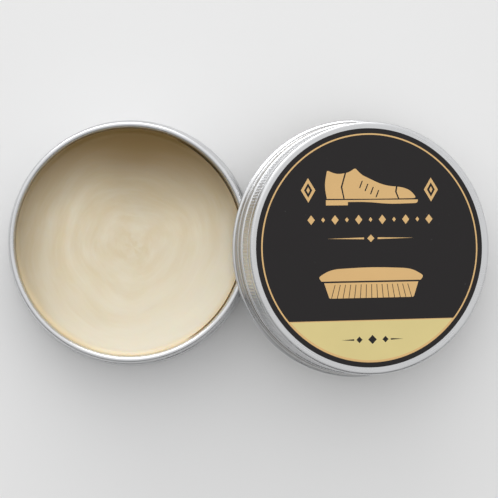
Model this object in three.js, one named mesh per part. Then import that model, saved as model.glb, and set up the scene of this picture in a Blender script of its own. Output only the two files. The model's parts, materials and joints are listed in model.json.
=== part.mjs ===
// A flat screw-top aluminium tin of shoe polish, open: the filled base stands on the table
// and the lid leans on the base's rim with its label up. Millimetres, +Z up, table at z = 0.
import * as THREE from 'three';

const DEG = Math.PI / 180;
const ROUND = 60; // facets around every turned piece
const SHEET = 0.5; // sheet thickness

// Base: a drawn cup with a stacking foot, a stepped-in neck and a rolled rim.
const RIM_TOP = 19.5;
const BODY_R = 38.5;
const BODY_TOP = 4.4;
const NECK_R = 37.3;
const NECK_FOOT = 5.4;
const NECK_TOP = 17.1;
const ROLL_R = 1.15; // radius of the rim's round edge
const ROLL_CENTRE = 35.75; // radius of the circle that the rim's edge runs along
const FOOT_CORNER = 1.2;
const RECESS_R = 34.6;
const RECESS_H = 0.8;

// Lid: a drawn cap with a knurled grip band, a bead, a rolled thread and a curled edge.
const LID_H = 15.5;
const LID_TOP_R = 37.7; // flat top ends here
const SHOULDER_R = 0.95; // rounding between the top and the side
const SIDE_R = LID_TOP_R + SHOULDER_R;
const GRIP_R = 38.6;
const GRIP_LOW = 6.9;
const GRIP_HIGH = 12.3;
const STEP_R = 38.3; // narrow groove above the grip band
const BEAD_R = 0.5;
const BEAD_CENTRE = 38.35;
const BEAD_Z = 6.2;
const WAIST_R = 38.45; // groove below the bead
const SKIRT_R = 39.1; // threaded part of the side
const SKIRT_TOP = 4.9;
const SKIRT_LOW = 1.9;
const LID_BORE_R = 38.0;
const CURL_R = 0.65;
const CURL_CENTRE = 39.35;

// Single-start thread, rolled into the neck and into the lid's skirt.
const PITCH = 2.5;
const RIDGE_W = 1.6;
const NECK_THREAD = { start: 8.8, turns: 1.2, height: 0.65 };
const LID_THREAD = { start: 2.15, turns: 1.0, height: -0.95 };
const THREAD_STEP = 0.5; // spacing of the rings that carry the thread

// Contents, liner and labels.
const GAP = 0.1; // clearance around the wax and the liner
const WAX_EDGE = 16.6;
const WAX_MIDDLE = 14.4;
const WAX_RINGS = 7;
const LINER_R = 37.1;
const LINER_T = 0.9;
const LABEL_T = 0.15;
const LABEL_GAP = 0.05;
const LID_LABEL_R = 36.4;
const LID_LABEL_SHIFT = new THREE.Vector2(-0.6, 0.3); // the sticker sits a little off centre
const BASE_LABEL_R = 31;

// How the lid leans on the base.
const LID_AWAY = 70; // from the base's axis to the lid's axis, along the table
const REST_GAP = 0.1; // clearance kept where the lid leans on the rim

const ALUMINIUM = { color: 0xc9cacb, roughness: 0.32, metalness: 1 };

function point(radius, height) {
  return new THREE.Vector2(radius, height);
}

// Points along an arc of the profile, from one angle to another, in degrees.
function arc(radius, height, size, from, to, steps) {
  const points = [];
  for (let i = 0; i <= steps; i++) {
    const angle = (from + ((to - from) * i) / steps) * DEG;
    points.push(point(radius + size * Math.cos(angle), height + size * Math.sin(angle)));
  }
  return points;
}

// Evenly spaced points up or down a straight side.
function side(radius, from, to) {
  const steps = Math.round(Math.abs(to - from) / THREAD_STEP);
  const points = [];
  for (let i = 0; i <= steps; i++) {
    points.push(point(radius, from + ((to - from) * i) / steps));
  }
  return points;
}

// A profile of (radius, height) points turned about the vertical axis.
function turned(points) {
  const geometry = new THREE.LatheGeometry(points, ROUND);
  geometry.rotateX(Math.PI / 2);
  return geometry;
}

// Height of the thread's ridge at one place, from 0 beside it to 1 on its crest. The ridge
// winds upward and dies away over the first and last twelfth of a turn.
function ridge(angle, z, thread) {
  let crest = 0;
  for (let turn = 0; turn <= Math.ceil(thread.turns); turn++) {
    const wound = angle / (2 * Math.PI) + turn;
    const off = Math.abs(z - (thread.start + PITCH * wound));
    const ends = Math.min(wound, thread.turns - wound) * 12;
    if (off < RIDGE_W / 2 && ends > 0) {
      crest = Math.max(crest, Math.cos((Math.PI * off) / RIDGE_W) ** 2 * Math.min(ends, 1));
    }
  }
  return crest;
}

// Pushes the wall out (or in, for a negative height) along the thread. Only rings whose
// radius is within the given range are moved.
function rollThread(geometry, thread, least, most) {
  const position = geometry.attributes.position;
  for (let i = 0; i < position.count; i++) {
    const x = position.getX(i);
    const y = position.getY(i);
    const radius = Math.hypot(x, y);
    if (radius > least && radius < most) {
      const angle = (Math.atan2(y, x) + 2 * Math.PI) % (2 * Math.PI);
      const moved = radius + thread.height * ridge(angle, position.getZ(i), thread);
      position.setX(i, (x * moved) / radius);
      position.setY(i, (y * moved) / radius);
    }
  }
  return geometry;
}

// Drawn and rolled cup, open at the top, with a recessed underside.
function makeBase() {
  const rollZ = RIM_TOP - ROLL_R;
  const neckBore = NECK_R - SHEET;
  const geometry = turned([
    point(0, RECESS_H),
    point(RECESS_R - 0.4, RECESS_H),
    point(RECESS_R, 0),
    ...arc(BODY_R - FOOT_CORNER, FOOT_CORNER, FOOT_CORNER, -90, 0, 4),
    point(BODY_R, BODY_TOP),
    point(NECK_R, NECK_FOOT),
    ...side(NECK_R, 7.5, 13),
    point(NECK_R, NECK_TOP),
    point(NECK_R - 0.15, NECK_TOP + 0.4),
    ...arc(ROLL_CENTRE, rollZ, ROLL_R, -15, 285, 12),
    point(neckBore, NECK_TOP - 0.2),
    point(neckBore, NECK_FOOT - 0.2),
    point(BODY_R - SHEET, BODY_TOP - 0.2),
    point(BODY_R - SHEET, FOOT_CORNER + 0.3),
    point(BODY_R - 1.6, SHEET),
    point(RECESS_R + 0.5, SHEET),
    point(RECESS_R - 0.2, RECESS_H + SHEET),
    point(0, RECESS_H + SHEET),
  ]);
  return rollThread(geometry, NECK_THREAD, NECK_R - 0.05, NECK_R + 0.05);
}

// Wax poured to just under the rolled rim. Its surface is dished and clings to the wall.
function makeWax() {
  const neckR = NECK_R - SHEET - GAP;
  const bodyR = BODY_R - SHEET - GAP;
  const surface = [];
  for (let i = 0; i <= WAX_RINGS; i++) {
    const out = 1 - i / WAX_RINGS;
    surface.push(point(neckR * out, WAX_MIDDLE + (WAX_EDGE - WAX_MIDDLE) * out ** 2.4));
  }
  return turned([
    point(0, RECESS_H + SHEET + GAP),
    point(RECESS_R - 0.1, RECESS_H + SHEET + GAP),
    point(RECESS_R + 0.6, SHEET + GAP),
    point(BODY_R - 1.65, SHEET + GAP),
    point(bodyR, FOOT_CORNER + 0.4),
    point(bodyR, BODY_TOP - 0.25),
    point(neckR, NECK_FOOT - 0.25),
    ...surface,
  ]);
}

// Drawn cap, open at the bottom.
function makeLid() {
  const skirtBore = SKIRT_R - SHEET;
  const geometry = turned([
    point(0, LID_H - SHEET),
    point(LID_TOP_R - 0.4, LID_H - SHEET),
    point(LID_BORE_R - 0.1, LID_H - 0.9),
    point(LID_BORE_R, LID_H - 1.5),
    point(LID_BORE_R, SKIRT_TOP + 1.2),
    point(LID_BORE_R - 0.05, SKIRT_TOP + 0.4),
    ...side(skirtBore, SKIRT_TOP, SKIRT_LOW),
    ...arc(CURL_CENTRE, CURL_R, CURL_R, 180, 435, 10),
    ...side(SKIRT_R, SKIRT_LOW, SKIRT_TOP),
    point(WAIST_R, SKIRT_TOP + 0.35),
    ...arc(BEAD_CENTRE, BEAD_Z, BEAD_R, -60, 60, 4),
    point(GRIP_R, GRIP_LOW),
    point(GRIP_R, GRIP_HIGH),
    point(STEP_R, GRIP_HIGH + 0.15),
    point(STEP_R, GRIP_HIGH + 0.4),
    point(SIDE_R, GRIP_HIGH + 0.6),
    ...arc(LID_TOP_R, LID_H - SHOULDER_R, SHOULDER_R, 0, 90, 4),
    point(0, LID_H),
  ]);
  rollThread(geometry, LID_THREAD, skirtBore - 0.05, skirtBore + 0.05);
  return rollThread(geometry, { ...LID_THREAD, height: -0.8 }, SKIRT_R - 0.05, SKIRT_R + 0.05);
}

// A flat round piece whose lower face is at the given height.
function makeDisc(radius, low, thickness) {
  return turned([
    point(0, low),
    point(radius, low),
    point(radius, low + thickness),
    point(0, low + thickness),
  ]);
}

// The tilt at which the lid's curled edge meets the table on one side and lies on the
// base's rim on the other, where the two circles cross in plan.
function leanAngle() {
  let lean = 0.25;
  for (let i = 0; i < 20; i++) {
    const squash = Math.cos(lean) ** 2;
    const a = 1 - 1 / squash;
    const b = (2 * LID_AWAY) / squash;
    const c = CURL_CENTRE ** 2 - ROLL_CENTRE ** 2 - LID_AWAY ** 2 / squash;
    const crossing = (-b + Math.sqrt(b * b - 4 * a * c)) / (2 * a);
    const reach = CURL_CENTRE + (LID_AWAY - crossing) / Math.cos(lean);
    lean = Math.asin((RIM_TOP + REST_GAP) / reach);
  }
  return lean;
}

function mesh(name, geometry, look) {
  const made = new THREE.Mesh(geometry, new THREE.MeshStandardMaterial(look));
  made.name = name;
  return made;
}

const base = new THREE.Group();
base.add(mesh('tin_base', makeBase(), ALUMINIUM));
base.add(mesh('wax_fill', makeWax(), { color: 0xdcd0b9, roughness: 0.4, metalness: 0 }));
const baseLabel = makeDisc(BASE_LABEL_R, RECESS_H - LABEL_GAP - LABEL_T, LABEL_T);
base.add(mesh('base_label', baseLabel, { color: 0xe9e6df, roughness: 0.6, metalness: 0 }));

const lean = leanAngle();
const lid = new THREE.Group();
lid.position.set(LID_AWAY, 0, CURL_CENTRE * Math.sin(lean) + CURL_R * (1 - Math.cos(lean)));
lid.rotation.y = lean;
lid.add(mesh('lid_shell', makeLid(), ALUMINIUM));
const liner = makeDisc(LINER_R, LID_H - SHEET - GAP - LINER_T, LINER_T);
lid.add(mesh('seal_liner', liner, { color: 0xf2f2ee, roughness: 0.8, metalness: 0 }));
const label = makeDisc(LID_LABEL_R, LID_H + LABEL_GAP, LABEL_T);
const lidLabel = mesh('lid_label', label, { color: 0x302c2f, roughness: 0.45, metalness: 0 });
lidLabel.position.set(LID_LABEL_SHIFT.x, LID_LABEL_SHIFT.y, 0);
lid.add(lidLabel);

// The origin is the middle of the whole arrangement's footprint, on the table.
const group = new THREE.Group();
group.add(base, lid);
group.updateMatrixWorld(true);
const extent = new THREE.Box3().setFromObject(group, true);
base.position.x -= (extent.min.x + extent.max.x) / 2;
lid.position.x -= (extent.min.x + extent.max.x) / 2;

export default group;
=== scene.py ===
"""A flat screw-top tin of shoe polish, open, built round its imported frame.

The filled base stands on the table and the lid, label up, leans on the base's rim. Round
pieces are turned about their own axis, in millimetres, and are then placed by the frame.
"""

import json
import math

import bmesh
import bpy
from bpy.props import FloatProperty, FloatVectorProperty, IntProperty, PointerProperty
from bpy.types import Operator, Panel, PropertyGroup
from mathutils import Matrix, Vector, noise
from mathutils.geometry import delaunay_2d_cdt


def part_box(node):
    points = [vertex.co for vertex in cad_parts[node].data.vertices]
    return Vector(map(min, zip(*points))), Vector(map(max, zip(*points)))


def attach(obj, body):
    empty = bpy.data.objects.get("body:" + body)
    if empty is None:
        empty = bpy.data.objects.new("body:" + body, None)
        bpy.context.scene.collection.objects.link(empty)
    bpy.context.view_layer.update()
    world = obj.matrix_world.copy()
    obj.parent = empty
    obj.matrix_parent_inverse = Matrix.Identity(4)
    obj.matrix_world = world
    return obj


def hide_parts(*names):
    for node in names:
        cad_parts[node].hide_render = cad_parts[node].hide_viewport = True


bl_info = {
    "name": "Shoe Polish Tin",
    "version": (1, 0, 0),
    "blender": (4, 5, 0),
    "location": "View3D > Sidebar > Polish Tin",
    "description": "Builds an open screw-top tin of shoe polish round its packed frame",
    "category": "Object",
}

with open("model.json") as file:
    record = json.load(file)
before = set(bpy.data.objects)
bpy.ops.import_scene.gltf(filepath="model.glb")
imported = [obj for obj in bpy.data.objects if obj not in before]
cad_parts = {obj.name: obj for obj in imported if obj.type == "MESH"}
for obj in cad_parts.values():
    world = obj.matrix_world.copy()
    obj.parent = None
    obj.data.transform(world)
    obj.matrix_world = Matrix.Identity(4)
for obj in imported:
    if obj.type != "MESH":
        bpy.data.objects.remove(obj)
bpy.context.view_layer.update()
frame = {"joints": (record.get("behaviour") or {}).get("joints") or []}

MM = 0.001
TAU = 2 * math.pi
SHEET = 0.5

# Where the base and the lid stand, from the frame.
base_low, base_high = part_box("tin_base")
BASE_PLACE = Matrix.Translation(((base_low.x + base_high.x) / 2, 0, base_low.z))
lid_turn = next(joint for joint in frame["joints"] if joint["name"] == "lid_turn")
LID_LEAN = Vector((0, 0, 1)).rotation_difference(Vector(lid_turn["axis"]))
LID_PLACE = Matrix.Translation(lid_turn["pos_m"]) @ LID_LEAN.to_matrix().to_4x4()

# Base cup, in mm from its axis and from the table.
RIM_TOP = (base_high.z - base_low.z) / MM
BODY_R = 38.5
BODY_TOP = 4.4
NECK_R = 37.3
NECK_BORE = 36.8
NECK_FOOT = 5.4
NECK_TOP = 17.1
RECESS_H = 0.8

# Rolled rim: its crest, its outer bend, and the longer fall on its inner side.
ROLL_CENTRE = 36.1
ROLL_R = 0.85
ROLL_INNER = 35.0
ROLL_DROP = 1.7
ROLL_TUCK = 0.7

# Lid, in mm from its axis and from its open edge.
LID_H = 15.5
TOP_R = 37.7
SHOULDER_R = 0.95
GRIP_LOW = 6.9
GRIP_HIGH = 12.3
GRIP_R = 38.62
GRIP_BACK = 38.2
GRIP_BEND = 0.2
GRIP_SEAT = 38.35
STEP_R = 38.0
WAIST_R = 38.5
BEAD_CENTRE = 38.42
BEAD_Z = 6.2
BEAD_R = 0.55
SKIRT_R = 39.1
SKIRT_BORE = 38.6
SKIRT_LOW = 1.9
SKIRT_TOP = 4.9
LID_BORE = 38.0
CURL_R = 0.65
CURL_CENTRE = 39.35

# Grooves darkened with painted shade: height, half width and strength of each.
LID_SHADED_GROOVES = ((13.2, 0.9, 0.45), (5.25, 0.45, 0.75), (3.2, 0.9, 0.35), (1.6, 0.3, 0.35))

# Rolled screw thread.
PITCH = 2.5
RIDGE_W = 1.6
THREAD_ROW = 0.15
NECK_THREAD = {"start": 8.8, "turns": 1.2, "height": 0.65}
LID_THREAD_OUT = {"start": 2.15, "turns": 1.0, "height": -0.8}
LID_THREAD_IN = {"start": 2.15, "turns": 1.0, "height": -0.95}

# Contents, liner and labels. The wax is outlined with a flat top, which is then dished.
WAX_MIDDLE = 13.9
WAX_RISE = 3.0
WAX_WALL = 36.7
WAX_TOP = 15.0
LINER_R = 37.1
LINER_LOW = 14.0
LINER_T = 0.9
LABEL_T = 0.14
LABEL_GAP = 0.01
LID_LABEL_R = 36.4
LID_LABEL_SHIFT = Vector((-0.36, 0.15))
LID_LABEL_TURN = math.radians(2.59)
BASE_LABEL_R = 31.0

# The stage, in metres.
FLOOR_REACH = 2.5
FLOOR_DROP = 0.05 * MM
LIGHT_WIDTH = 1.2
LIGHT_HEIGHT = 0.16
LIGHT_PLACE = Vector((-0.2, 0.97, 0.22))
BACK_WAY = Vector((-0.22, 1.0, 0))
SIDE_WAY = Vector((1.0, 0.1, 0.2))
AIM = Vector((0.87 * MM, -0.87 * MM, 0))
SENSOR = 36.0


# ---- outlines --------------------------------------------------------------------------

def arc(radius, height, size, start, end, steps):
    """Points along an arc of an outline, between two angles in degrees."""
    points = []
    for i in range(steps + 1):
        angle = math.radians(start + (end - start) * i / steps)
        points.append((radius + size * math.cos(angle), height + size * math.sin(angle)))
    return points


def side(radius, start, end, step=THREAD_ROW):
    """Evenly spaced points along a straight upright side."""
    steps = max(1, round(abs(end - start) / step))
    return [(radius, start + (end - start) * i / steps) for i in range(steps + 1)]


def soften(corners, steps=4):
    """Rounds the corners of an open outline. A corner is (x, y) or (x, y, length cut off)."""
    points = [corners[0][:2]]
    for before, corner, after in zip(corners, corners[1:], corners[2:]):
        if len(corner) < 3:
            points.append(corner)
            continue
        middle = Vector(corner[:2])
        back = Vector(before[:2]) - middle
        ahead = Vector(after[:2]) - middle
        start = middle + back.normalized() * min(corner[2], 0.49 * back.length)
        end = middle + ahead.normalized() * min(corner[2], 0.49 * ahead.length)
        for i in range(steps + 1):
            t = i / steps
            bend = start * (1 - t) ** 2 + middle * 2 * t * (1 - t) + end * t * t
            points.append(tuple(bend))
    points.append(corners[-1][:2])
    return points


def ridge(angle, height, thread):
    """Height of a thread's ridge, from 0 to 1. It winds upward and fades at both ends."""
    crest = 0.0
    for turn in range(math.ceil(thread["turns"]) + 1):
        wound = angle / TAU + turn
        off = abs(height - thread["start"] - PITCH * wound)
        ends = min(wound, thread["turns"] - wound) * 12
        if off < RIDGE_W / 2 and ends > 0:
            crest = max(crest, math.cos(math.pi * off / RIDGE_W) ** 2 * min(ends, 1))
    return crest


def smooth(value, low, high):
    """0 below low, 1 above high, with an even bend between."""
    t = min(1.0, max(0.0, (value - low) / (high - low)))
    return t * t * (3 - 2 * t)


# ---- meshes ----------------------------------------------------------------------------

def new_piece(name, mesh, place, body, slot, *nodes):
    """Puts a mesh in the scene at its place, riding on a body in place of CAD nodes."""
    piece = bpy.data.objects.new(name, mesh)
    bpy.context.scene.collection.objects.link(piece)
    piece.matrix_world = place
    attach(piece, body)
    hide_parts(*nodes)
    return piece


def turn(name, outline, facets, shape=None):
    """Turns an outline of (radius, height) points about Z, as one closed skin.

    The outline starts and ends on the axis, or else its two ends are joined. shape moves a
    point: it takes angle, radius and height, and gives the new radius and height.
    """
    work = bmesh.new()
    rings = []
    for radius, height in outline:
        count = 1 if radius < 1e-6 else facets
        ring = []
        for i in range(count):
            angle = TAU * i / facets
            r, z = shape(angle, radius, height) if shape else (radius, height)
            ring.append(work.verts.new((r * MM * math.cos(angle), r * MM * math.sin(angle), z * MM)))
        rings.append(ring)
    pairs = list(zip(rings, rings[1:]))
    if len(rings[0]) > 1:
        pairs.append((rings[-1], rings[0]))
    for low, high in pairs:
        for i in range(facets):
            j = (i + 1) % facets
            corners = [low[i % len(low)], low[j % len(low)], high[j % len(high)], high[i % len(high)]]
            work.faces.new(dict.fromkeys(corners))
    bmesh.ops.recalc_face_normals(work, faces=work.faces)
    return to_mesh(name, work)


def to_mesh(name, work, sharp=40):
    """Ends a bmesh as a smooth-shaded mesh that keeps edges sharper than an angle."""
    mesh = bpy.data.meshes.new(name)
    work.to_mesh(mesh)
    work.free()
    mesh.shade_smooth()
    mesh.set_sharp_from_angle(angle=math.radians(sharp))
    return mesh


def printed_disc(name, shapes, low, thickness):
    """A flat label cut from overlapping shapes.

    shapes is a list of (outline in mm, number of the ink). A later shape is printed over
    the earlier ones, and the first is the paper.
    """
    corners = []
    loops = []
    for outline, _ in shapes:
        points = [Vector(point) for point in outline]
        area = sum(a.cross(b) for a, b in zip(points, points[1:] + points[:1]))
        loops.append(list(range(len(corners), len(corners) + len(points))))
        corners.extend(points if area > 0 else reversed(points))
    flat, _, faces, _, _, sources = delaunay_2d_cdt(corners, [], loops, 1, 1e-5)
    work = bmesh.new()
    lower, upper = (
        [work.verts.new((p.x * MM, p.y * MM, height * MM)) for p in flat]
        for height in (low, low + thickness)
    )
    sides = {}
    for face, source in zip(faces, sources):
        for sheet in (lower, upper):
            made = work.faces.new([sheet[i] for i in face])
            made.material_index = shapes[max(source)][1]
        for i, j in zip(face, face[1:] + face[:1]):
            if sides.pop((j, i), None) is None:
                sides[i, j] = made.material_index
    for (i, j), ink in sides.items():
        work.faces.new([lower[i], lower[j], upper[j], upper[i]]).material_index = ink
    bmesh.ops.recalc_face_normals(work, faces=work.faces)
    return to_mesh(name, work)


# ---- print on the labels ---------------------------------------------------------------

def circle(radius, steps):
    """Evenly spaced points round a circle."""
    angles = [TAU * i / steps for i in range(steps)]
    return [(radius * math.cos(angle), radius * math.sin(angle)) for angle in angles]


def diamond(x, y, width, height):
    """An upright diamond about its middle."""
    return [(x - width / 2, y), (x, y - height / 2), (x + width / 2, y), (x, y + height / 2)]


def bar(x, y, width, height, slant=0.0):
    """An upright or slanted box about its middle."""
    dx, dy = width / 2, height / 2
    return [
        (x - dx - slant, y - dy), (x + dx - slant, y - dy),
        (x + dx + slant, y + dy), (x - dx + slant, y + dy),
    ]


def taper(x0, x1, y, thickness):
    """A thin rule that narrows to a point at its far end x1."""
    return [(x0, y - thickness / 2), (x0, y + thickness / 2), (x1, y)]


def segment(radius, chord, steps=72):
    """The part of a disc below a level chord."""
    start = math.asin(chord / radius)
    sweep = math.pi + 2 * start
    points = []
    for i in range(steps + 1):
        angle = math.pi - start + sweep * i / steps
        points.append((radius * math.cos(angle), radius * math.sin(angle)))
    return points


def closed(corners, x=0.0, y=0.0, scale=1.0):
    """A closed outline with its marked corners rounded, placed and scaled."""
    loop = [corners[-1], *corners, corners[0]]
    return [(x + scale * px, y + scale * py) for px, py in soften(loop, 6)[1:-1]]


# A laced shoe seen from its side, toe to the right, sole at y = 0.
SHOE_UPPER = [
    (-13.9, 2.0), (-14.6, 6.0, 2.0), (-13.7, 10.6, 0.5), (-10.5, 9.3, 2.0), (-6.6, 10.0, 1.2),
    (-4.7, 11.3, 0.6), (-2.6, 9.2, 1.0), (4.5, 5.9, 3.0), (12.2, 5.3, 4.0), (15.3, 2.0, 1.5), (0.0, 1.9),
]
SHOE_SOLE = [
    (-14.2, 0.0), (-14.2, 1.6), (15.6, 1.6, 0.4), (15.2, 0.5, 0.8),
    (6.0, 0.3, 3.0), (-1.0, 1.0, 3.0), (-7.2, 1.0), (-7.2, 0.0),
]
SHOE_SEAMS = [
    [(9.0, 1.9), (9.45, 1.9), (8.6, 4.0), (8.9, 5.7), (8.4, 5.75), (8.1, 4.0)],
    [(-8.6, 1.9), (-8.2, 1.9), (-8.9, 5.5), (-7.6, 9.8), (-8.1, 9.75), (-9.4, 5.5)],
]
LACES = 4
LACE_FOOT = Vector((-2.9, 6.3))
LACE_STEP = Vector((1.75, -0.95))

# A shoe brush seen from its side, with the back's lower edge near y = 0.
BRUSH_BACK = [
    (-16.0, 0.3), (-17.0, 1.6, 1.0), (-13.0, 3.9, 3.0), (0.0, 4.5, 8.0),
    (13.0, 3.9, 3.0), (17.0, 1.6, 1.0), (16.0, 0.3),
]
BRISTLES = [(-15.2, -0.2), (15.2, -0.2), (13.6, -4.9, 0.5), (-13.6, -4.9, 0.5)]


def shoe(x, y, ink, paper, scale=1.0):
    """The shoe's upper and sole, with its laces, toe cap and heel seam left unprinted."""
    shapes = [(closed(SHOE_UPPER, x, y, scale), ink), (closed(SHOE_SOLE, x, y, scale), ink)]
    for i in range(LACES):
        foot = LACE_FOOT + LACE_STEP * i
        lace = bar(x + scale * foot.x, y + scale * foot.y, 0.4 * scale, 2.2 * scale, 0.45 * scale)
        shapes.append((lace, paper))
    for seam in SHOE_SEAMS:
        shapes.append(([(x + scale * px, y + scale * py) for px, py in seam], paper))
    return shapes


def brush(x, y, ink, paper, tufts=16):
    """The brush's arched wooden back over its bristles, which are parted into tufts."""
    shapes = [(closed(BRUSH_BACK, x, y), ink), (closed(BRISTLES, x, y), ink)]
    for i in range(1, tufts):
        across = 2 * i / tufts - 1
        shapes.append((bar(x + 14.1 * across, y - 2.9, 0.22, 4.2, -0.7 * across), paper))
    return shapes


def parted_rule(y, reach, thickness, ink):
    """Two tapering rules either side of a small diamond."""
    return [
        (diamond(0.0, y, 2.3, 2.3), ink),
        (taper(-2.2, -reach, y, thickness), ink),
        (taper(2.2, reach, y, thickness), ink),
    ]


def lid_print():
    """Black paper, a gold ring, a cream panel at the foot, and gold ornament."""
    black, gold, cream = 0, 1, 2
    ring_in = 34.4
    shapes = [(circle(radius, 256), ink) for radius, ink in (
        (LID_LABEL_R, black), (34.86, gold), (ring_in, black),
    )]
    shapes.append((segment(ring_in, -21.95), gold))
    shapes.append((segment(ring_in - 0.2, -22.2), cream))
    shapes += shoe(0.0, 13.0, gold, black)
    for x in (-19.8, 19.8):
        for width, height, ink in ((4.6, 7.4, gold), (2.6, 4.4, black), (1.1, 2.0, gold)):
            shapes.append((diamond(x, 17.6, width, height), ink))
    for i in range(-5, 6):
        size = 2.9 if i % 2 else 1.5
        shapes.append((diamond(3.8 * i, 8.6, 0.8 * size, size), gold))
    shapes += parted_rule(2.9, 14.0, 0.55, gold)
    shapes += brush(0.0, -10.3, gold, black)
    panel_y = -27.9
    for x, size in ((-4.2, 2.0), (0.0, 2.8), (4.2, 2.0)):
        shapes.append((diamond(x, panel_y, size, size), black))
    for way in (-1, 1):
        shapes.append((taper(5.9 * way, 10.0 * way, panel_y, 0.5), black))
    return shapes


def underside_print():
    """Plain pale paper with two dark rings, a shoe and two rules."""
    paper, ink = 0, 1
    shapes = [(circle(BASE_LABEL_R, 200), paper)]
    for radius, width in ((29.2, 0.7), (27.9, 0.25)):
        shapes.append((circle(radius, 200), ink))
        shapes.append((circle(radius - width, 200), paper))
    shapes += shoe(0.0, -2.0, ink, paper, 0.8)
    shapes += parted_rule(-8.5, 13.0, 0.5, ink)
    shapes += parted_rule(13.5, 13.0, 0.5, ink)
    return shapes


# ---- materials -------------------------------------------------------------------------

def add(tree, kind, inputs=None, **settings):
    """Adds a shader node. inputs holds values, or the sockets to link from."""
    made = tree.nodes.new(kind)
    for name, value in settings.items():
        setattr(made, name, value)
    for name, value in (inputs or {}).items():
        if isinstance(value, bpy.types.NodeSocket):
            tree.links.new(value, made.inputs[name])
        else:
            made.inputs[name].default_value = value
    return made


def maths(tree, operation, a, b=0.0):
    """Works out one value from two."""
    return add(tree, "ShaderNodeMath", {0: a, 1: b}, operation=operation).outputs[0]


def sloped(tree, value, slope, level):
    """A value times a slope, plus a level."""
    inputs = {0: value, 1: slope, 2: level}
    return add(tree, "ShaderNodeMath", inputs, operation="MULTIPLY_ADD").outputs[0]


def vectors(tree, operation, a, b=(0, 0, 0)):
    """Works out one vector from two."""
    return add(tree, "ShaderNodeVectorMath", {0: a, 1: b}, operation=operation).outputs[0]


def scaled(tree, vector, factor):
    """A vector times a number."""
    return add(tree, "ShaderNodeVectorMath", {0: vector, "Scale": factor}, operation="SCALE").outputs[0]


def along(tree, vector, way):
    """How far a vector reaches in one direction."""
    made = add(tree, "ShaderNodeVectorMath", {0: vector, 1: way}, operation="DOT_PRODUCT")
    return made.outputs["Value"]


def span(tree, value, low, high, start=0.0, end=1.0, soft=False):
    """Maps a range of values to another, held at both ends."""
    ease = "SMOOTHSTEP" if soft else "LINEAR"
    inputs = {"Value": value, "From Min": low, "From Max": high, "To Min": start, "To Max": end}
    return add(tree, "ShaderNodeMapRange", inputs, interpolation_type=ease).outputs["Result"]


def mottle(tree, vector, scale, detail=3.0, w=None):
    """Noise about a place, in 4D where w is given."""
    inputs = {"Vector": vector, "Scale": scale, "Detail": detail}
    if w is None:
        return add(tree, "ShaderNodeTexNoise", inputs).outputs[0]
    inputs["W"] = w
    return add(tree, "ShaderNodeTexNoise", inputs, noise_dimensions="4D").outputs[0]


def blend(tree, factor, a, b):
    """Mixes two colours."""
    made = add(tree, "ShaderNodeMix", data_type="RGBA")
    for socket, value in (("Factor_Float", factor), ("A_Color", a), ("B_Color", b)):
        target = next(s for s in made.inputs if s.identifier == socket)
        if isinstance(value, bpy.types.NodeSocket):
            tree.links.new(value, target)
        else:
            target.default_value = value
    return next(s for s in made.outputs if s.identifier == "Result_Color")


def rgba(colour, factor=1.0):
    """A colour with its alpha, made brighter or darker by a factor."""
    return (*(min(1.0, part * factor) for part in colour), 1.0)


def start_material(name, **sockets):
    """A new material: its node tree, its Principled shader, and its object coordinates."""
    material = bpy.data.materials.new(name)
    material.use_nodes = True
    tree = material.node_tree
    shader = tree.nodes["Principled BSDF"]
    for socket, value in sockets.items():
        shader.inputs[socket.replace("_", " ")].default_value = value
    place = add(tree, "ShaderNodeTexCoord").outputs["Object"]
    return material, tree, shader, place


def about_axis(tree, place):
    """Turned coordinates: distance from the axis, height, and the direction outward."""
    height = add(tree, "ShaderNodeSeparateXYZ", {0: place}).outputs["Z"]
    flat = vectors(tree, "MULTIPLY", place, (1, 1, 0))
    radius = add(tree, "ShaderNodeVectorMath", {0: flat}, operation="LENGTH").outputs["Value"]
    return radius, height, vectors(tree, "NORMALIZE", flat)


def turning_marks(tree, place, spacing, around=2.0):
    """Noise drawn out round the axis, as a lathe or a spinning tool leaves it.

    spacing is from one mark to the next, in metres. A higher around gives shorter marks.
    """
    radius, height, outward = about_axis(tree, place)
    across = add(tree, "ShaderNodeCombineXYZ", {"Z": maths(tree, "DIVIDE", radius, spacing)}).outputs[0]
    vector = vectors(tree, "ADD", scaled(tree, outward, around), across)
    return mottle(tree, vector, 1.0, 4.0, maths(tree, "DIVIDE", height, spacing))


def finish_surface(tree, shader, colour, roughness, bumps):
    """Links a material's colour, roughness and a chain of (height, strength, depth) bumps."""
    tree.links.new(colour, shader.inputs["Base Color"])
    tree.links.new(roughness, shader.inputs["Roughness"])
    normal = None
    for height, strength, depth in bumps:
        inputs = {"Height": height, "Strength": strength, "Distance": depth}
        if normal:
            inputs["Normal"] = normal
        normal = add(tree, "ShaderNodeBump", inputs).outputs[0]
    tree.links.new(normal, shader.inputs["Normal"])


# Painted shade: the dim brown that the lid's grooves are darkened towards.
GROOVE_SHADE = (0.28, 0.25, 0.20)


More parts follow.
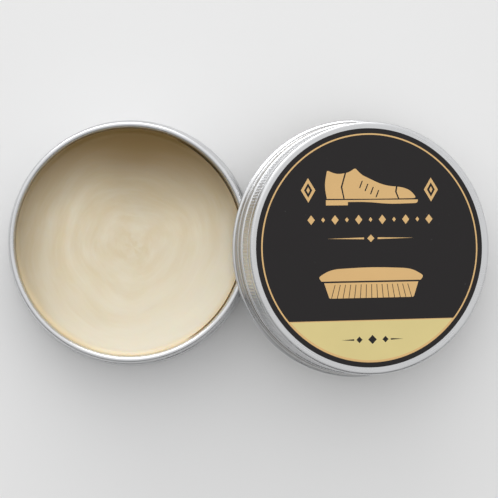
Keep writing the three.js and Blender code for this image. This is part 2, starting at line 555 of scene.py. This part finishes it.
def aluminium(name, colour, rough=0.26, marks=1.0, grooves=()):
    """Bare drawn aluminium: satin, with fine turning marks, dull patches and faint scuffs.

    Painted shade darkens the grooves: (height, half width, strength) of each, in mm.
    """
    material, tree, shader, place = start_material(name, Metallic=1.0)
    fine = turning_marks(tree, place, 0.16 * MM)
    broad = turning_marks(tree, place, 0.9 * MM, 1.2)
    cloud = mottle(tree, place, 90.0, 4.0)
    grain = mottle(tree, place, 5200.0, 2.0)
    stretched = {"Vector": place, "Rotation": (0.3, 0.5, 0.7), "Scale": (1, 14, 9)}
    scuff = add(tree, "ShaderNodeMapping", stretched).outputs[0]
    scuffs = span(tree, mottle(tree, scuff, 260.0, 3.0), 0.66, 0.74)
    worn = span(tree, cloud, 0.35, 0.7)
    tone = maths(tree, "ADD", maths(tree, "MULTIPLY", worn, 0.5), maths(tree, "MULTIPLY", broad, 0.5))
    tint = blend(tree, tone, rgba(colour, 0.95), rgba(colour, 1.04))
    groove_shade_colour = rgba([part * dark for part, dark in zip(colour, GROOVE_SHADE)])
    height = about_axis(tree, place)[1]
    # Painted shade in each groove, strongest at its middle.
    for level, half, strength in grooves:
        off = maths(tree, "ABSOLUTE", maths(tree, "SUBTRACT", height, level * MM))
        groove_shade_weight = span(tree, off, half * 0.3 * MM, half * MM, strength, 0.0)
        tint = blend(tree, groove_shade_weight, tint, groove_shade_colour)
    dull = sloped(tree, worn, 0.07, rough - 0.05)
    dulled = maths(tree, "ADD", dull, maths(tree, "MULTIPLY", scuffs, 0.12))
    streaked = maths(tree, "ADD", dulled, maths(tree, "MULTIPLY", fine, 0.08))
    bumps = [(fine, 0.22 * marks, 0.02 * MM), (grain, 0.10 * marks, 0.01 * MM), (scuffs, 0.12, 0.01 * MM)]
    finish_surface(tree, shader, tint, streaked, bumps)
    return material


def beeswax(name, cream, pale, edge, painted_shade):
    """Poured polish: translucent cream with pale swirls, and tan where it meets the tin.

    Painted shade darkens it towards the back, where fall is lowest, and near the wall except at the front
    right; painted light makes it paler to the front right.
    """
    material, tree, shader, place = start_material(
        name, Subsurface_Weight=0.35, Subsurface_Scale=1.6 * MM, Subsurface_Radius=(1.0, 0.62, 0.3),
        IOR=1.44, Coat_Weight=0.08, Coat_Roughness=0.35,
    )
    radius = about_axis(tree, place)[0]
    wander = add(tree, "ShaderNodeTexNoise", {"Vector": place, "Scale": 38.0, "Detail": 1.0})
    sway = vectors(tree, "ADD", wander.outputs["Color"], (-0.6, -0.4, -0.5))
    swept = vectors(tree, "ADD", place, scaled(tree, sway, 9 * MM))
    swirl = turning_marks(tree, swept, 4.4 * MM, 1.0)
    hairs = turning_marks(tree, swept, 0.8 * MM, 2.2)
    cloud = mottle(tree, place, 55.0, 3.0)
    grain = mottle(tree, place, 2600.0, 3.0)
    fall = along(tree, swept, (-0.06, -1, 0))
    slant = along(tree, swept, (0.45, -0.89, 0))
    # Painted shade: towards the back the wax goes over to its shade tone.
    shaded = span(tree, fall, -36 * MM, -5 * MM, soft=True)
    # Painted light: the wax is lifted to its pale tone towards the front right.
    lit = span(tree, slant, 2 * MM, 32 * MM, 0.0, 0.8)
    streaks = span(tree, swirl, 0.38, 0.68, 0.0, 0.55)
    fine = span(tree, hairs, 0.45, 0.8, 0.0, 0.25)
    swirled = blend(tree, maths(tree, "ADD", streaks, fine), rgba(cream), rgba(pale))
    lifted = blend(tree, lit, swirled, rgba(pale))
    shadow = blend(tree, shaded, rgba(painted_shade), lifted)
    reach = maths(tree, "ADD", radius, sloped(tree, cloud, 2.4 * MM, -1.2 * MM))
    # Painted shade near the wall, strongest at the back left and gone at the front right.
    sided = span(tree, slant, -22 * MM, 18 * MM, 0.62, 0.0)
    painted_edge_shade = maths(tree, "MULTIPLY", span(tree, reach, 20 * MM, 34 * MM), sided)
    skin = span(tree, slant, -20 * MM, 16 * MM, 0.1, 0.65)
    thin_edge = maths(tree, "MULTIPLY", span(tree, reach, 33.0 * MM, 34.8 * MM), skin)
    toned = blend(tree, painted_edge_shade, shadow, rgba(painted_shade))
    edged = blend(tree, thin_edge, toned, rgba(edge))
    gloss = sloped(tree, cloud, 0.18, 0.32)
    bumps = [(swirl, 0.3, 0.2 * MM), (hairs, 0.25, 0.04 * MM), (grain, 0.12, 0.01 * MM)]
    finish_surface(tree, shader, edged, gloss, bumps)
    return material


def printed(name, colour, rough=0.42, fade=0.94):
    """Ink on coated paper: fine tooth, a faint unevenness, and a few rubbed specks."""
    material, tree, shader, place = start_material(name, Specular_IOR_Level=0.3)
    tooth = mottle(tree, place, 1900.0, 4.0)
    cloud = mottle(tree, place, 70.0, 3.0)
    specks = span(tree, mottle(tree, place, 640.0, 2.0), 0.74, 0.79, 0.0, 0.5)
    even = blend(tree, cloud, rgba(colour, fade), rgba(colour, 2 - fade))
    rubbed = blend(tree, specks, even, rgba([part * 0.8 + 0.06 for part in colour]))
    sheen = sloped(tree, tooth, 0.14, rough - 0.07)
    finish_surface(tree, shader, rubbed, sheen, [(tooth, 0.18, 0.012 * MM), (cloud, 0.1, 0.05 * MM)])
    return material


def foam(name, colour):
    """Closed-cell foam sheet: small cells with a soft, matt skin."""
    material, tree, shader, place = start_material(name, Sheen_Weight=0.2)
    cells = add(tree, "ShaderNodeTexVoronoi", {"Vector": place, "Scale": 1500.0}).outputs["Distance"]
    cloud = mottle(tree, place, 120.0, 4.0)
    tint = blend(tree, cloud, rgba(colour, 0.95), rgba(colour))
    rough = span(tree, cells, 0.0, 0.8, 0.75, 0.9)
    finish_surface(tree, shader, tint, rough, [(cells, 0.5, 0.08 * MM), (cloud, 0.2, 0.2 * MM)])
    return material


def matt_floor(name, colour):
    """Smooth pale card with a faint tooth."""
    material, tree, shader, place = start_material(name)
    tooth = mottle(tree, place, 900.0, 3.0)
    tint = blend(tree, tooth, rgba(colour, 0.995), rgba(colour))
    rough = span(tree, tooth, 0.0, 1.0, 0.85, 0.95)
    finish_surface(tree, shader, tint, rough, [(tooth, 0.05, 0.02 * MM)])
    return material


# ---- what a user may change ------------------------------------------------------------

def colour_property(name, description, default):
    """A colour that a user may change."""
    return FloatVectorProperty(
        name=name, description=description, default=default, subtype="COLOR", size=3, min=0.0, max=1.0
    )


class PolishTinSizes(PropertyGroup):
    """Sizes of the tin's fine detail"""

    facets: IntProperty(name="Facets", description="Facets round a turned piece", default=256, min=48)
    ribs: IntProperty(name="Ribs", description="Ribs round the lid's grip band", default=234, min=60)
    rib_depth: FloatProperty(
        name="Rib depth", description="Depth of the grooves between ribs",
        default=0.15 * MM, unit="LENGTH", precision=5,
    )
    wax_swirl: FloatProperty(
        name="Wax swirl", description="Height of the waves in the wax",
        default=0.05 * MM, unit="LENGTH", precision=5,
    )


class PolishTinColours(PropertyGroup):
    """Colours of the metal, the polish, the labels and the floor"""

    metal: colour_property("Aluminium", "Colour of the bare aluminium", (0.655, 0.66, 0.67))
    wax_cream: colour_property("Wax", "Main colour of the polish", (0.71, 0.605, 0.415))
    # Also the tone that painted light lifts the front of the wax to.
    wax_pale: colour_property("Wax swirls", "Pale swirls in the polish", (0.79, 0.735, 0.60))
    wax_edge: colour_property("Wax edge", "Thin polish where it meets the tin", (0.72, 0.55, 0.30))
    # Painted shade: the tone that the wax is darkened to at the back and near the wall.
    wax_painted_shade: colour_property("Wax shade", "Deeper, oilier tone to one side", (0.185, 0.108, 0.02))
    black: colour_property("Label black", "Black of the lid's label", (0.009, 0.007, 0.0075))
    gold: colour_property("Label gold", "Gold ink of the lid's label", (0.73, 0.47, 0.20))
    cream: colour_property("Label cream", "Panel at the foot of the lid's label", (0.73, 0.61, 0.27))
    paper: colour_property("Underside label", "Paper of the underside's label", (0.80, 0.78, 0.72))
    liner: colour_property("Liner", "Foam sealing disc", (0.86, 0.86, 0.83))
    floor: colour_property("Floor", "Pale card that the tin stands on", (0.82, 0.82, 0.82))


class PolishTinStage(PropertyGroup):
    """The camera's place and the strength of the light"""

    lens: FloatProperty(name="Lens", description="Focal length", default=144.6, unit="CAMERA")
    distance: FloatProperty(name="Distance", description="Camera to table", default=0.6329, unit="LENGTH")
    tip: FloatProperty(
        name="Tip", description="Camera leans to the front", default=math.radians(0.82), unit="ROTATION"
    )
    lean: FloatProperty(
        name="Lean", description="Camera leans aside", default=math.radians(-1.45), unit="ROTATION"
    )
    roll: FloatProperty(
        name="Roll", description="Camera turns about its view", default=math.radians(1.54), unit="ROTATION"
    )
    key_power: FloatProperty(
        name="Back light", description="Large soft light behind the tin", default=5.0, unit="POWER"
    )
    fill: FloatProperty(name="Fill", description="Strength of the surrounding light", default=1.0)


SETTINGS = {
    "polish_tin_sizes": PolishTinSizes,
    "polish_tin_colours": PolishTinColours,
    "polish_tin_stage": PolishTinStage,
}


# ---- operators -------------------------------------------------------------------------

class POLISHTIN_OT_base(Operator):
    """Build the drawn aluminium cup with its foot ring, thread and rolled rim"""

    bl_idname = "polish_tin.base"
    bl_label = "Base cup"

    def execute(self, context):
        roll_z = RIM_TOP - ROLL_R
        reach = ROLL_CENTRE - ROLL_INNER
        inner_roll = []
        for degrees in range(90, 265, 7):
            angle = math.radians(degrees)
            drop = ROLL_DROP if degrees < 180 else ROLL_TUCK
            height = RIM_TOP - ROLL_DROP + drop * math.sin(angle)
            inner_roll.append((ROLL_CENTRE + reach * math.cos(angle), height))
        outline = soften([
            (0, RECESS_H), (31.8, RECESS_H, 0.3), (32.2, 1.05, 0.3), (33.1, 1.05, 0.3), (33.5, RECESS_H, 0.3),
            (34.1, RECESS_H, 0.4), (34.7, 0, 0.5), (BODY_R, 0, 1.2), (BODY_R, BODY_TOP, 0.5),
            (NECK_R, NECK_FOOT, 0.6), *side(NECK_R, 7.5, 13), (NECK_R, NECK_TOP, 0.3),
            (NECK_R - 0.2, NECK_TOP + 0.45), *arc(ROLL_CENTRE, roll_z, ROLL_R, -25, 80, 16), *inner_roll,
            (NECK_BORE, NECK_TOP - 0.2, 0.2), (NECK_BORE, NECK_FOOT - 0.2, 0.5),
            (BODY_R - SHEET, BODY_TOP - 0.2, 0.4), (BODY_R - SHEET, 0.6, 0.9), (35.2, 0.6, 0.4),
            (34.5, RECESS_H + SHEET, 0.4), (0, RECESS_H + SHEET),
        ])

        def thread(angle, radius, height):
            if abs(radius - NECK_R) > 0.02:
                return radius, height
            return radius + NECK_THREAD["height"] * ridge(angle, height, NECK_THREAD), height

        mesh = turn("base_cup", outline, context.scene.polish_tin_sizes.facets, thread)
        mesh.materials.append(aluminium("base_aluminium", context.scene.polish_tin_colours.metal))
        new_piece("base_cup", mesh, BASE_PLACE, "base", "aluminium", "tin_base")
        return {"FINISHED"}


class POLISHTIN_OT_wax(Operator):
    """Pour the polish: dished, faintly swirled, clinging to one side and shrunk from the other"""

    bl_idname = "polish_tin.wax"
    bl_label = "Wax"

    def execute(self, context):
        sizes = context.scene.polish_tin_sizes
        colours = context.scene.polish_tin_colours
        swirl = sizes.wax_swirl / MM

        def surface(angle, radius, height):
            if height < WAX_TOP:
                return radius, height
            x, y = radius * math.cos(angle), radius * math.sin(angle)
            level = WAX_MIDDLE + WAX_RISE * (radius / WAX_WALL) ** 2
            wave = noise.fractal(Vector((x * 0.05, y * 0.05, 0.3)), 1.0, 2.0, 3)
            level += 0.4 * swirl * math.sin(0.9 * radius + angle + 3.0 * wave) * smooth(radius, 2, 8)
            level += 2.0 * swirl * wave
            # On one side the wax has shrunk from the wall, and on the other it climbs it.
            shrunk = smooth(math.cos(angle - math.radians(5)), 0.42, 0.72)
            wander = 0.12 * noise.noise(Vector((3 * math.cos(angle), 3 * math.sin(angle), 1.7)))
            climb = smooth(radius, 33.0, 34.9) ** 2 * (1 - smooth(radius, 34.9, 35.6))
            level += climb * (1.0 - shrunk) * (0.6 + 0.3 * math.sin(angle) + 2 * wander)
            crack = smooth(radius, 34.5 + wander, 34.7 + wander) * (1 - smooth(radius, 35.4, 35.8))
            level -= 2.4 * crack * shrunk
            return radius, level

        coarse = [0.6 * i for i in range(1, 55)]
        fine = [32.4 + 0.1 * i for i in range(1, 37)]
        top = [(radius, WAX_TOP) for radius in reversed([*coarse, *fine, 36.3, WAX_WALL])]
        outline = soften([
            (0, 1.4), (34.5, 1.4, 0.3), (35.3, 0.7, 0.3), (37.9, 0.7, 0.8),
            (37.9, 4.1, 0.4), (WAX_WALL, 5.1, 0.4), *top, (0, WAX_TOP),
        ])
        mesh = turn("polish_wax", outline, sizes.facets, surface)
        tones = (colours.wax_cream, colours.wax_pale, colours.wax_edge, colours.wax_painted_shade)
        mesh.materials.append(beeswax("beeswax", *tones))
        new_piece("polish_wax", mesh, BASE_PLACE, "base", "wax", "wax_fill")
        return {"FINISHED"}


class POLISHTIN_OT_lid(Operator):
    """Build the drawn lid: curled edge, rolled thread, bead and shoulder, and its ribbed grip band"""

    bl_idname = "polish_tin.lid"
    bl_label = "Lid"

    def execute(self, context):
        metal = context.scene.polish_tin_colours.metal
        self.shell(context.scene.polish_tin_sizes, metal)
        self.grip(context.scene.polish_tin_sizes, metal)
        return {"FINISHED"}

    def shell(self, sizes, metal):
        """The cap itself, with a plain seat for the grip band."""
        outline = soften([
            (0, LID_H - SHEET), (LID_BORE, LID_H - SHEET, 0.9), (LID_BORE, GRIP_HIGH + 0.9, 0.2),
            (LID_BORE - 0.4, GRIP_HIGH + 0.5, 0.2), (LID_BORE - 0.4, GRIP_HIGH + 0.1, 0.2),
            (LID_BORE, GRIP_HIGH - 0.3, 0.2), (LID_BORE, SKIRT_TOP + 1.2, 0.3),
            (LID_BORE, SKIRT_TOP + 0.5, 0.3), *side(SKIRT_BORE, SKIRT_TOP, SKIRT_LOW),
            *arc(CURL_CENTRE, CURL_R, CURL_R, 180, 430, 30), *side(SKIRT_R, SKIRT_LOW, SKIRT_TOP),
            (SKIRT_R - 0.1, SKIRT_TOP + 0.25, 0.2), (WAIST_R, SKIRT_TOP + 0.45, 0.15),
            *arc(BEAD_CENTRE, BEAD_Z, BEAD_R, -62, 62, 14), (38.4, GRIP_LOW, 0.1),
            (GRIP_SEAT, GRIP_LOW + 0.1), (GRIP_SEAT, GRIP_HIGH - 0.1), (STEP_R, GRIP_HIGH + 0.1, 0.15),
            (STEP_R, GRIP_HIGH + 0.55, 0.15), (TOP_R + SHOULDER_R, GRIP_HIGH + 0.85, 0.15),
            *arc(TOP_R, LID_H - SHOULDER_R, SHOULDER_R, 0, 90, 14), (TOP_R - 0.4, LID_H), (0, LID_H),
        ])

        def thread(angle, radius, height):
            if SKIRT_LOW <= height <= SKIRT_TOP and abs(radius - SKIRT_R) < 0.02:
                radius += LID_THREAD_OUT["height"] * ridge(angle, height, LID_THREAD_OUT)
            elif SKIRT_LOW <= height <= SKIRT_TOP and abs(radius - SKIRT_BORE) < 0.02:
                radius += LID_THREAD_IN["height"] * ridge(angle, height, LID_THREAD_IN)
            return radius, height

        mesh = turn("lid_cap", outline, sizes.facets, thread)
        mesh.materials.append(aluminium("lid_aluminium", metal, grooves=LID_SHADED_GROOVES))
        new_piece("lid_cap", mesh, LID_PLACE, "lid", "aluminium", "lid_shell")

    def grip(self, sizes, metal):
        """The ribbed band round the cap, a skin of its own so that every rib is a real one."""
        depth = sizes.rib_depth / MM
        low, high = GRIP_LOW + 0.02, GRIP_HIGH - 0.02
        bend, middle = GRIP_BEND, GRIP_R - GRIP_BEND
        outline = [
            (GRIP_BACK, low), (middle, low), *arc(middle, low + bend, bend, -60, 0, 4),
            *side(GRIP_R, low + 0.5, high - 0.5, 1.0), *arc(middle, high - bend, bend, 0, 60, 4),
            (middle, high), (GRIP_BACK, high),
        ]

        def rib(angle, radius, height):
            if radius < GRIP_R - 0.15:
                return radius, height
            groove = 0.5 - 0.5 * math.cos(angle * sizes.ribs)
            ends = smooth(min(height - low, high - height), 0.0, 0.45)
            return radius - depth * groove * (0.35 + 0.65 * ends), height

        mesh = turn("lid_grip_band", outline, sizes.ribs * 8, rib)
        mesh.materials.append(aluminium("grip_aluminium", metal, 0.36, 0.4))
        new_piece("lid_grip_band", mesh, LID_PLACE, "lid", "aluminium", "lid_shell")


class POLISHTIN_OT_liner(Operator):
    """Cut the foam sealing disc, marked where the base's rim has pressed it"""

    bl_idname = "polish_tin.liner"
    bl_label = "Liner"

    def execute(self, context):
        rows = [(34.0 + 0.2 * i, LINER_LOW) for i in range(18)]
        outline = soften([
            (0, LINER_LOW), *rows[:-1], (LINER_R, LINER_LOW, 0.15), (LINER_R, LINER_LOW + LINER_T, 0.15),
            (0, LINER_LOW + LINER_T),
        ])

        def pressed(angle, radius, height):
            if height > LINER_LOW + 0.01:
                return radius, height
            across = (radius - ROLL_CENTRE) / 0.9
            return radius, height + 0.22 * math.exp(-across * across)

        mesh = turn("sealing_disc", outline, context.scene.polish_tin_sizes.facets, pressed)
        mesh.materials.append(foam("liner_foam_white", context.scene.polish_tin_colours.liner))
        new_piece("sealing_disc", mesh, LID_PLACE, "liner", "liner_foam", "seal_liner")
        return {"FINISHED"}


class POLISHTIN_OT_labels(Operator):
    """Print and stick the lid's label and the label under the base"""

    bl_idname = "polish_tin.labels"
    bl_label = "Labels"

    def execute(self, context):
        colours = context.scene.polish_tin_colours
        mesh = printed_disc("lid_round_label", lid_print(), 0, LABEL_T)
        for name, colour in (("black", colours.black), ("gold", colours.gold), ("cream", colours.cream)):
            mesh.materials.append(printed("label_" + name, colour))
        across = Matrix.Translation((*(LID_LABEL_SHIFT * MM), (LID_H + LABEL_GAP) * MM))
        place = LID_PLACE @ across @ Matrix.Rotation(LID_LABEL_TURN, 4, "Z")
        new_piece("lid_round_label", mesh, place, "lid", "label_black", "lid_label")

        mesh = printed_disc("underside_round_label", underside_print(), 0, LABEL_T)
        for name, colour in (("paper", colours.paper), ("ink", colours.black)):
            mesh.materials.append(printed("underside_" + name, colour, 0.55))
        flipped = Matrix.Translation((0, 0, (RECESS_H - LABEL_GAP) * MM)) @ Matrix.Rotation(math.pi, 4, "X")
        new_piece("underside_round_label", mesh, BASE_PLACE @ flipped, "base", "label_white", "base_label")
        return {"FINISHED"}


class POLISHTIN_OT_stage(Operator):
    """Set the pale floor, the soft studio light and the camera"""

    bl_idname = "polish_tin.stage"
    bl_label = "Stage"

    def execute(self, context):
        stage = context.scene.polish_tin_stage
        self.floor(context.scene.polish_tin_colours.floor)
        self.surroundings(context.scene, stage.fill)
        if stage.key_power > 0:
            self.back_light(stage.key_power)
        self.camera(context.scene, stage)
        return {"FINISHED"}

    def floor(self, colour):
        """A level card just under the base's foot."""
        work = bmesh.new()
        bmesh.ops.create_grid(work, x_segments=8, y_segments=8, size=FLOOR_REACH)
        mesh = to_mesh("floor", work)
        mesh.materials.append(matt_floor("pale_card", colour))
        floor = bpy.data.objects.new("floor", mesh)
        floor.location.z = -FLOOR_DROP
        bpy.context.scene.collection.objects.link(floor)

    def surroundings(self, scene, strength):
        """A pale room that grows brighter from the front, over the top, to the back."""
        world = bpy.data.worlds.new("soft_studio")
        world.use_nodes = True
        tree = world.node_tree
        direction = add(tree, "ShaderNodeTexCoord").outputs["Generated"]
        back = along(tree, direction, BACK_WAY.normalized())
        beside = along(tree, direction, SIDE_WAY.normalized())
        rising = maths(tree, "EXPONENT", maths(tree, "MULTIPLY", back, 1.6))
        glow = maths(tree, "ADD", maths(tree, "MULTIPLY", rising, 0.32), 0.05)
        overhead = span(tree, along(tree, direction, (0, 0, 1)), 0.3, 0.87, 0.0, 0.57)
        aside = span(tree, beside, 0.7, 0.98, 0.0, 0.42)
        background = tree.nodes["Background"]
        light = maths(tree, "ADD", maths(tree, "ADD", glow, overhead), aside)
        tree.links.new(light, background.inputs["Color"])
        background.inputs["Strength"].default_value = strength
        scene.world = world

    def back_light(self, power):
        """A long, low light behind the tin, turned towards it."""
        light = bpy.data.lights.new("back_light", "AREA")
        light.shape = "RECTANGLE"
        light.size = LIGHT_WIDTH
        light.size_y = LIGHT_HEIGHT
        light.energy = power
        lamp = bpy.data.objects.new("back_light", light)
        lamp.location = LIGHT_PLACE
        lamp.rotation_mode = "QUATERNION"
        lamp.rotation_quaternion = (-LIGHT_PLACE).to_track_quat("-Z", "Y")
        bpy.context.scene.collection.objects.link(lamp)

    def camera(self, scene, stage):
        """A long lens almost straight above the tin."""
        data = bpy.data.cameras.new("camera")
        data.lens = stage.lens
        data.sensor_width = SENSOR
        camera = bpy.data.objects.new("camera", data)
        turned = Matrix.Rotation(stage.lean, 4, "Y") @ Matrix.Rotation(stage.tip, 4, "X")
        turned = turned @ Matrix.Rotation(stage.roll, 4, "Z")
        camera.matrix_world = Matrix.Translation(AIM) @ turned @ Matrix.Translation((0, 0, stage.distance))
        scene.collection.objects.link(camera)
        scene.camera = camera
        scene.view_settings.view_transform = "Standard"


OPERATORS = (
    POLISHTIN_OT_base, POLISHTIN_OT_wax, POLISHTIN_OT_lid, POLISHTIN_OT_liner, POLISHTIN_OT_labels,
    POLISHTIN_OT_stage,
)


class POLISHTIN_PT_panel(Panel):
    """The tin's pieces, sizes and colours"""

    bl_idname = "POLISHTIN_PT_panel"
    bl_label = "Polish Tin"
    bl_space_type = "VIEW_3D"
    bl_region_type = "UI"
    bl_category = "Polish Tin"

    def draw(self, context):
        for operator in OPERATORS:
            self.layout.operator(operator.bl_idname)
        for name, group in SETTINGS.items():
            box = self.layout.box()
            for setting in group.__annotations__:
                box.prop(getattr(context.scene, name), setting)


CLASSES = (*SETTINGS.values(), *OPERATORS, POLISHTIN_PT_panel)


def register():
    for cls in CLASSES:
        bpy.utils.register_class(cls)
    for name, group in SETTINGS.items():
        setattr(bpy.types.Scene, name, PointerProperty(type=group))


def unregister():
    for name in SETTINGS:
        delattr(bpy.types.Scene, name)
    for cls in reversed(CLASSES):
        bpy.utils.unregister_class(cls)


def main():
    """Builds every piece and the stage."""
    register()
    for operator in OPERATORS:
        module, name = operator.bl_idname.split(".")
        getattr(getattr(bpy.ops, module), name)()


if __name__ == "__main__":
    main()
